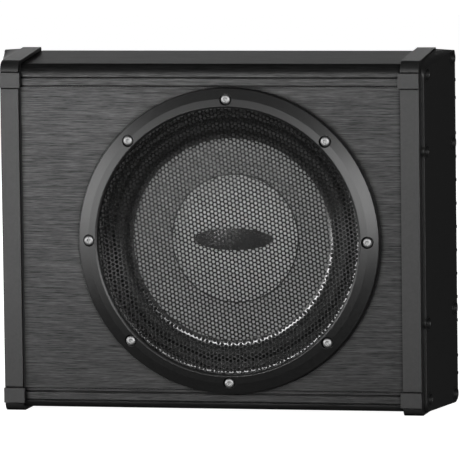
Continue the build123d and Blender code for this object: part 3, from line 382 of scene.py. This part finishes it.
def perforated_mesh():
    """Hexagonal cells that share their corners, each with a twelve-sided hole."""
    bm = bmesh.new()
    corners = {}

    def pair(point):
        """Front and back vertex at a point of the lattice."""
        y = dish_y(point.length)
        spot = Vector((WOOFER.x + point.x, y, WOOFER.z + point.y))
        return bm.verts.new(spot), bm.verts.new(spot + Vector((0, MESH_THICKNESS, 0)))

    def corner(point):
        """The pair shared by the cells that meet at a corner."""
        key = (round(point.x * 1e5), round(point.y * 1e5))
        if key not in corners:
            corners[key] = pair(point)
        return corners[key]

    def around(centre, reach, angle):
        return centre + reach * Vector((math.cos(angle), math.sin(angle)))

    flat = HOLE_ACROSS / 2
    blunt = flat * CORNER_ROUNDING
    count = int(PERFORATED_RADIUS / HOLE_PITCH) + 2
    up = Vector((-math.sin(LATTICE_TILT), math.cos(LATTICE_TILT))) * HOLE_PITCH
    side = Vector((math.cos(LATTICE_TILT), math.sin(LATTICE_TILT)))
    side *= HOLE_PITCH * math.sqrt(3) / 2
    turns = [LATTICE_TILT + math.radians(30 * k) for k in range(12)]
    for i in range(-2 * count, 2 * count + 1):
        for j in range(-2 * count, 2 * count + 1):
            centre = up * (j + (i % 2) / 2) + side * i
            if centre.length > PERFORATED_RADIUS:
                continue
            cell = [corner(around(centre, HOLE_PITCH / math.sqrt(3), a)) for a in turns[::2]]
            reaches = [flat if k % 2 else blunt for k in range(12)]
            rim = [pair(around(centre, reach, a)) for reach, a in zip(reaches, turns)]
            for k in range(6):
                n = (k + 1) % 6
                hole = (rim[(2 * k + 2) % 12], rim[2 * k + 1], rim[2 * k])
                for face in (0, 1):
                    bm.faces.new([p[face] for p in (cell[k], cell[n], *hole)])
            for k in range(12):
                n = (k + 1) % 12
                bm.faces.new((rim[k][0], rim[n][0], rim[n][1], rim[k][1]))
    behind = dict(corners.values())
    for edge in [e for e in bm.edges if e.is_boundary]:
        a, b = edge.verts
        if a in behind and b in behind:
            bm.faces.new((a, b, behind[b], behind[a]))
    piece("perforated_grille", bm, "enclosure", "mesh_black", ["grille_mesh"], 50)


# ---- Screws of the trim ring ----
SCREW_CIRCLE = 125.0 * MM
HEAD_SEAT = -3.0 * MM
SCREW_PROFILE = [      # shank, rounded head, then the hexagon socket
    (0, -12.5), (1.6, -12.5), (2.0, -12.1), (2.0, 0), (4.1, 0), (4.3, 0.25), (4.3, 1.2),
    (4.2, 1.7), (3.9, 2.15), (3.4, 2.5), (2.8, 2.75), (2.2, 2.87), (1.9, 2.9), (1.7, 2.75),
    (1.7, 1.3), (0, 1.1),
]
SOCKET_START = 13


def hexagon(angle, radius, index):
    """Radius of the socket's hexagon, and of the circle outside it."""
    if index < SOCKET_START:
        return radius
    half = math.pi / 6
    return radius * math.cos(half) / math.cos((angle + half) % (2 * half) - half)


def ring_screws():
    bm = bmesh.new()
    for k in range(8):
        turn = math.radians(45 * k)
        out = Vector((math.sin(turn), 0, math.cos(turn))) * SCREW_CIRCLE
        place = facing(WOOFER + out + Vector((0, HEAD_SEAT, 0)), (0, -1, 0))
        place = place @ Matrix.Rotation(0.4 + 1.3 * k, 4, "Z")      # no two sockets alike
        lathe(bm, place, millimetres(SCREW_PROFILE), 48, hexagon)
    piece("button_screws", bm, "enclosure", "bright_screw", ["trim_ring_screws"], 40)


# ---- Soft ring, spider and leads of the cone ----
SURROUND_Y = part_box("surround")[1].y - 1.0 * MM      # front of its flat edges
SPIDER_LOW, SPIDER_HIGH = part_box("spider")
ROLL_MIDDLE, ROLL_RADIUS = 101.0, 7.5      # mm, as all the profiles
ROLL_INNER, ROLL_OUTER = 89.5, 113.6      # ends of the flat edges
RUBBER = 1.0


def surround_roll():
    """Half-roll surround with two shallow ridges on its inner flank."""
    front = [(ROLL_INNER, 0.0)]
    for k in range(29):
        turn = math.pi * k / 28
        reach = ROLL_RADIUS - 0.12 * (1 + math.cos(14 * turn))
        front.append((ROLL_MIDDLE - reach * math.cos(turn), reach * math.sin(turn)))
    front.append((ROLL_OUTER, 0.0))
    rear = [(ROLL_OUTER, -RUBBER)]
    for k in range(13):
        turn = math.pi * k / 12
        reach = ROLL_RADIUS - RUBBER
        height = reach * math.sin(turn) - RUBBER * math.cos(turn) ** 2
        rear.append((ROLL_MIDDLE + reach * math.cos(turn), height))
    rear.append((ROLL_INNER, -RUBBER))
    bm = bmesh.new()
    place = facing((WOOFER.x, SURROUND_Y, WOOFER.z), (0, -1, 0))
    lathe(bm, place, millimetres(front + rear), 160, closed=True)
    obj = piece("surround_roll", bm, None, "surround_rubber", ["surround"], 50)
    share(obj, lambda p: smooth_step(off_axis(p), 93.5 * MM, 108.5 * MM))


CLOTH_INNER, CLOTH_WIDTH, CLOTH = 25.95, 52.45, 0.7
WAVES_START, WAVES_END = 29, 66      # the cloth is flat inside and outside of these
WAVE_HEIGHT, WAVE_LENGTH = 1.05, 8.75


def spider_cloth():
    """Corrugated cloth ring, finer than its CAD stand-in."""
    front = []
    for k in range(97):
        radius = CLOTH_INNER + CLOTH_WIDTH * k / 96
        rise, fall = (radius - WAVES_START) / 2, (WAVES_END - radius) / 2
        swell = min(1.0, max(0.0, rise), max(0.0, fall))
        turn = 2 * math.pi * (radius - WAVES_START - 1) / WAVE_LENGTH
        front.append((radius, WAVE_HEIGHT * swell * math.sin(turn)))
    rear = [(radius, height - CLOTH) for radius, height in reversed(front)]
    bm = bmesh.new()
    centre = (WOOFER.x, (SPIDER_LOW.y + SPIDER_HIGH.y) / 2 - CLOTH / 2 * MM, WOOFER.z)
    lathe(bm, facing(centre, (0, -1, 0)), millimetres(front + rear), 128, closed=True)
    obj = piece("spider_cloth", bm, None, "spider_fabric", ["spider"], 60)
    share(obj, lambda p: smooth_step(off_axis(p), 30 * MM, 66 * MM))


LEAD_RADIUS = 0.7 * MM


def braided_leads():
    """Two tinsel leads from the coil's former to the terminals on the frame."""
    low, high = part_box("tinsel_leads")
    bm = bmesh.new()
    steps, sides = 40, 10
    sag = high.y - low.y - 2 * LEAD_RADIUS
    for z in (low.z + LEAD_RADIUS, high.z - LEAD_RADIUS):
        rings = []
        for k in range(steps + 1):
            t = k / steps
            x = high.x - 0.1 * MM + (low.x - high.x + 0.2 * MM) * t
            y = high.y - LEAD_RADIUS - sag * math.sin(math.pi * t)
            ring = []
            for s in range(sides):
                turn = 2 * math.pi * s / sides + 2.2 * k
                radius = (0.62 + 0.07 * (s % 2)) * MM
                spot = (x, y + radius * math.cos(turn), z + radius * math.sin(turn))
                ring.append(bm.verts.new(spot))
            rings.append(ring)
        tube(bm, rings)
        bm.faces.new(rings[0][::-1])
        bm.faces.new(rings[-1])
    obj = piece("braided_leads", bm, None, "clamp_steel", ["tinsel_leads"], 30)
    share(obj, lambda p: smooth_step(high.x - p.x, 2 * MM, high.x - low.x - 2 * MM))


# ---- Trim on the dust cap ----
CAP_LOW, CAP_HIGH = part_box("dust_cap")
CAP_EDGE = (CAP_HIGH.x - CAP_LOW.x) / 2
CAP_SAG = CAP_HIGH.y - CAP_LOW.y
DOME = (CAP_EDGE**2 + CAP_SAG**2) / (2 * CAP_SAG)      # radius of its sphere
BEAD_SECTION = [(-0.9, -0.2), (-0.7, 0.7), (0.3, 0.9), (1.1, 0.2), (1.2, -0.5)]
RIM_INSET, RIM_WIDE, RIM_HIGH = 0.7 * MM, 0.6 * MM, 0.3 * MM
RIM_PROUD = 0.9 * MM


def dome_y(radius):
    """Y of the dust cap's front at this distance from the axis."""
    return CAP_LOW.y + DOME - math.sqrt(DOME**2 - radius**2)


def dust_cap_trim():
    """A bead of glue round the dust cap, and the raised rim of its plain oval badge."""
    bead = bmesh.new()
    place = facing((WOOFER.x, dome_y(CAP_EDGE), WOOFER.z), (0, -1, 0))
    section = [(CAP_EDGE + r, h) for r, h in millimetres(BEAD_SECTION)]
    lathe(bead, place, section, 128)
    piece("dust_cap_seam", bead, "cone_assembly", "surround_rubber")

    low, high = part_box("dust_cap_badge")
    wide, tall = (high.x - low.x) / 2 - RIM_INSET, (high.z - low.z) / 2 - RIM_INSET
    rim = bmesh.new()
    steps, sides = 96, 8
    rings = []
    for k in range(steps):
        turn = 2 * math.pi * k / steps
        ring = []
        for s in range(sides):
            lean = 2 * math.pi * s / sides
            x = (wide + RIM_WIDE * math.cos(lean)) * math.cos(turn)
            z = (tall + RIM_WIDE * math.cos(lean)) * math.sin(turn)
            y = dome_y(math.hypot(x, z)) - RIM_PROUD - RIM_HIGH * math.sin(lean)
            ring.append(rim.verts.new((WOOFER.x + x, y, WOOFER.z + z)))
        rings.append(ring)
    tube(rim, rings + rings[:1])
    piece("badge_rim", rim, "cone_assembly", "dust_cap_grey", smooth_angle=60)


# ---- Knobs, their scales, and the sockets' trim ----
KNOB_PROFILE = [
    (3.0, 6.3), (3.0, 0.0), (5.6, 0.0), (6.0, 0.3), (6.0, 1.2), (5.97, 1.3), (5.97, 7.2),
    (5.8, 7.7), (5.3, 8.2), (4.9, 8.42), (4.5, 8.3), (0, 8.1),
]
FLUTES = 32
FLUTED_POINTS = (5, 6)      # of the profile
FLUTE_DEPTH = 0.38 * MM
POINTER_FACE = 8.05 * MM    # underside of the pointer over the back of the knob


def fluted(angle, radius, index):
    """Finger grip round the side of a knob."""
    if index in FLUTED_POINTS:
        return radius - FLUTE_DEPTH * max(0.0, math.cos(FLUTES * angle)) ** 2
    return radius


def knobs():
    """Fluted grips, each with a painted pointer in its top."""
    for name in ("gain", "crossover", "boost"):
        low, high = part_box(f"{name}_knob")
        centre = Vector((high.x, CONTROL_Y, (low.z + high.z) / 2))
        place = facing(centre, (-1, 0, 0))
        bm = bmesh.new()
        lathe(bm, place, millimetres(KNOB_PROFILE), 8 * FLUTES, fluted)
        piece(f"{name}_grip", bm, f"{name}_control", "knob_black", [f"{name}_knob"], 30)
        line = bmesh.new()
        half = 0.45 * MM
        face = centre.x - POINTER_FACE
        box_low = Vector((face - 0.2 * MM, centre.y - half, centre.z + 1.2 * MM))
        box_high = Vector((face, centre.y + half, centre.z + 4.4 * MM))
        bar(line, Matrix.Identity(4), box_low, box_high)
        bmesh.ops.bevel(line, geom=line.edges[:], offset=0.08 * MM, segments=2, affect="EDGES")
        piece(f"{name}_pointer", line, f"{name}_control", "socket_white")


def dial_scales():
    """Painted ticks from one stop of each knob to the other, longer at every fifth."""
    bm = bmesh.new()
    for name in ("gain", "crossover", "boost"):
        centre = Vector((PANEL_FACE, CONTROL_Y, middle(f"{name}_knob").z))
        for k in range(11):
            turn = Matrix.Rotation(math.radians(-150 + 30 * k), 4, "X")
            reach = 9.3 if k % 5 == 0 else 8.6
            bar(
                bm,
                Matrix.Translation(centre) @ turn,
                (-0.08 * MM, -0.18 * MM, 7.3 * MM),
                (0.02 * MM, 0.18 * MM, reach * MM),
            )
    piece("dial_scales", bm, "enclosure", "socket_white")


def jack_insulators():
    """Coloured insulators in the ends of the two phono sockets."""
    low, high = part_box("rca_jacks")
    inset = 7.5 * MM      # from the ends of the pair to the middle of each socket
    profile = [(1.7, -2.0), (1.7, 0.1), (1.85, 0.25), (3.3, 0.25), (3.5, 0.1), (3.5, -0.1)]
    upper = ("upper", "socket_white", high.z - inset)
    lower = ("lower", "wire_red", low.z + inset)
    for name, slot, z in (upper, lower):
        bm = bmesh.new()
        place = facing((low.x, CONTROL_Y, z), (-1, 0, 0))
        lathe(bm, place, millimetres(profile), 48)
        piece(f"{name}_jack_insulator", bm, "enclosure", slot)


perforated_mesh()
ring_screws()
surround_roll()
spider_cloth()
braided_leads()
dust_cap_trim()
knobs()
dial_scales()
jack_insulators()


# ---- Stage, light and camera ----
FLOOR_HALF = 6.0
FLOOR_DROP = 0.5 * MM      # keeps the floor clear of the object's underside
DOME_RADIUS = 15.0         # round every camera that the views use
CARD_LOW = (-2.5, -1.3, 0.0)
CARD_HIGH = (-0.45, STRIP_FACE - 10 * MM, 0.0002)


def stage_material(name, value, glow):
    """White glow over grey."""
    s = Shader(name, grey(value), Roughness=0.9)
    s.set("Emission Color", (1, 1, 1, 1))
    s.set("Emission Strength", glow)
    return s.mat


def stage_piece(name, bm, material):
    """A pale surface that the camera sees, but that doesn't light the object."""
    mesh = bpy.data.meshes.new(name)
    bm.to_mesh(mesh)
    bm.free()
    mesh.materials.append(material)
    obj = bpy.data.objects.new(name, mesh)
    obj.visible_glossy = False
    obj.visible_diffuse = False
    bpy.context.scene.collection.objects.link(obj)
    return obj


def make_stage():
    floor = bmesh.new()
    bmesh.ops.create_grid(floor, x_segments=2, y_segments=2, size=FLOOR_HALF)
    ground = stage_piece("studio_floor", floor, stage_material("floor_pale", 0.3, 0.98))
    ground.location.z = -FLOOR_DROP
    dome = bmesh.new()
    bmesh.ops.create_uvsphere(dome, u_segments=48, v_segments=24, radius=DOME_RADIUS)
    backdrop = stage_piece("studio_backdrop", dome, stage_material("backdrop_pale", 0.8, 1.0))
    backdrop.visible_shadow = False
    # low reflector in front and to the left, seen only in the gloss of the black surfaces
    card = bmesh.new()
    bar(card, Matrix.Identity(4), CARD_LOW, CARD_HIGH)
    reflector = stage_piece("studio_reflector", card, stage_material("reflector_grey", 0.3, 0.9))
    reflector.visible_camera = False
    reflector.visible_shadow = False
    reflector.visible_glossy = True


def soft_light(name, azimuth, elevation, distance, size, power):
    """Area light that looks at the woofer; its angles are those of the views."""
    a, e = math.radians(azimuth), math.radians(elevation)
    back = Vector((math.sin(a) * math.cos(e), -math.cos(a) * math.cos(e), math.sin(e)))
    data = bpy.data.lights.new(name, "AREA")
    data.shape = "RECTANGLE"
    data.size, data.size_y = size
    data.energy = power
    light = bpy.data.objects.new(name, data)
    light.location = WOOFER + back * distance
    light.rotation_euler = back.to_track_quat("Z", "Y").to_euler()
    light.visible_camera = False
    bpy.context.scene.collection.objects.link(light)


# name, azimuth, elevation, distance, (width, height), power
SOFT_LIGHTS = [
    ("key_left", -55, 7, 2.2, (1.5, 1.2), 42),
    ("key_right", 30, 9, 2.2, (1.6, 1.0), 48),
    ("front_high", -10, 22, 2.6, (2.0, 0.4), 9),
    ("back_low", 193, 10, 2.5, (1.8, 0.6), 9),
    ("back_fill", 232, 16, 2.5, (1.4, 1.4), 55),
]
# small lamps whose glints follow the lower right of the mesh's crease, as (azimuth, elevation)
CREASE_LAMPS = [
    (-22.6, -4.0), (-21.5, -1.0), (-19.7, 1.5), (-16.5, 3.4), (-12.7, 4.4), (-8.5, 3.3),
]
WORLD_LIGHT = 0.05


def make_lights():
    for values in SOFT_LIGHTS:
        soft_light(*values)
    for azimuth, elevation in CREASE_LAMPS:
        soft_light("crease_lamp", azimuth, elevation, 2.4, (0.18, 0.15), 2.8)
    world = bpy.data.worlds.new("studio")
    bpy.context.scene.world = world
    world.use_nodes = True
    background = world.node_tree.nodes["Background"]
    background.inputs["Color"].default_value = (1, 1, 1, 1)
    background.inputs["Strength"].default_value = WORLD_LIGHT


CAMERA_YAW = math.radians(12.77)
CAMERA_RISE = math.radians(5.52)
CAMERA_ROLL = math.radians(-0.76)
CAMERA_DISTANCE = 5.0
CAMERA_LENS = 445.4
CAMERA_SENSOR = 36.0
AIM = Vector((0, STRIP_FACE, 155 * MM))
AIM_RIGHT, AIM_UP = 18.0 * MM, 7.44 * MM      # from AIM to the middle of the picture


def make_camera():
    """Camera at the photo's angle; back points from the object to it."""
    back = Vector((
        math.sin(CAMERA_YAW) * math.cos(CAMERA_RISE),
        -math.cos(CAMERA_YAW) * math.cos(CAMERA_RISE),
        math.sin(CAMERA_RISE),
    ))
    right = Vector((math.cos(CAMERA_YAW), math.sin(CAMERA_YAW), 0))
    place = AIM + back * CAMERA_DISTANCE
    target = AIM + right * AIM_RIGHT + back.cross(right) * AIM_UP
    data = bpy.data.cameras.new("camera")
    data.lens = CAMERA_LENS
    data.sensor_width = CAMERA_SENSOR
    camera = bpy.data.objects.new("camera", data)
    look = (target - place).to_track_quat("-Z", "Y")
    camera.rotation_mode = "QUATERNION"
    camera.rotation_quaternion = look @ Quaternion((0, 0, 1), CAMERA_ROLL)
    camera.location = place
    bpy.context.scene.collection.objects.link(camera)
    bpy.context.scene.camera = camera


make_stage()
make_lights()
make_camera()
bpy.context.scene.view_settings.view_transform = "Standard"
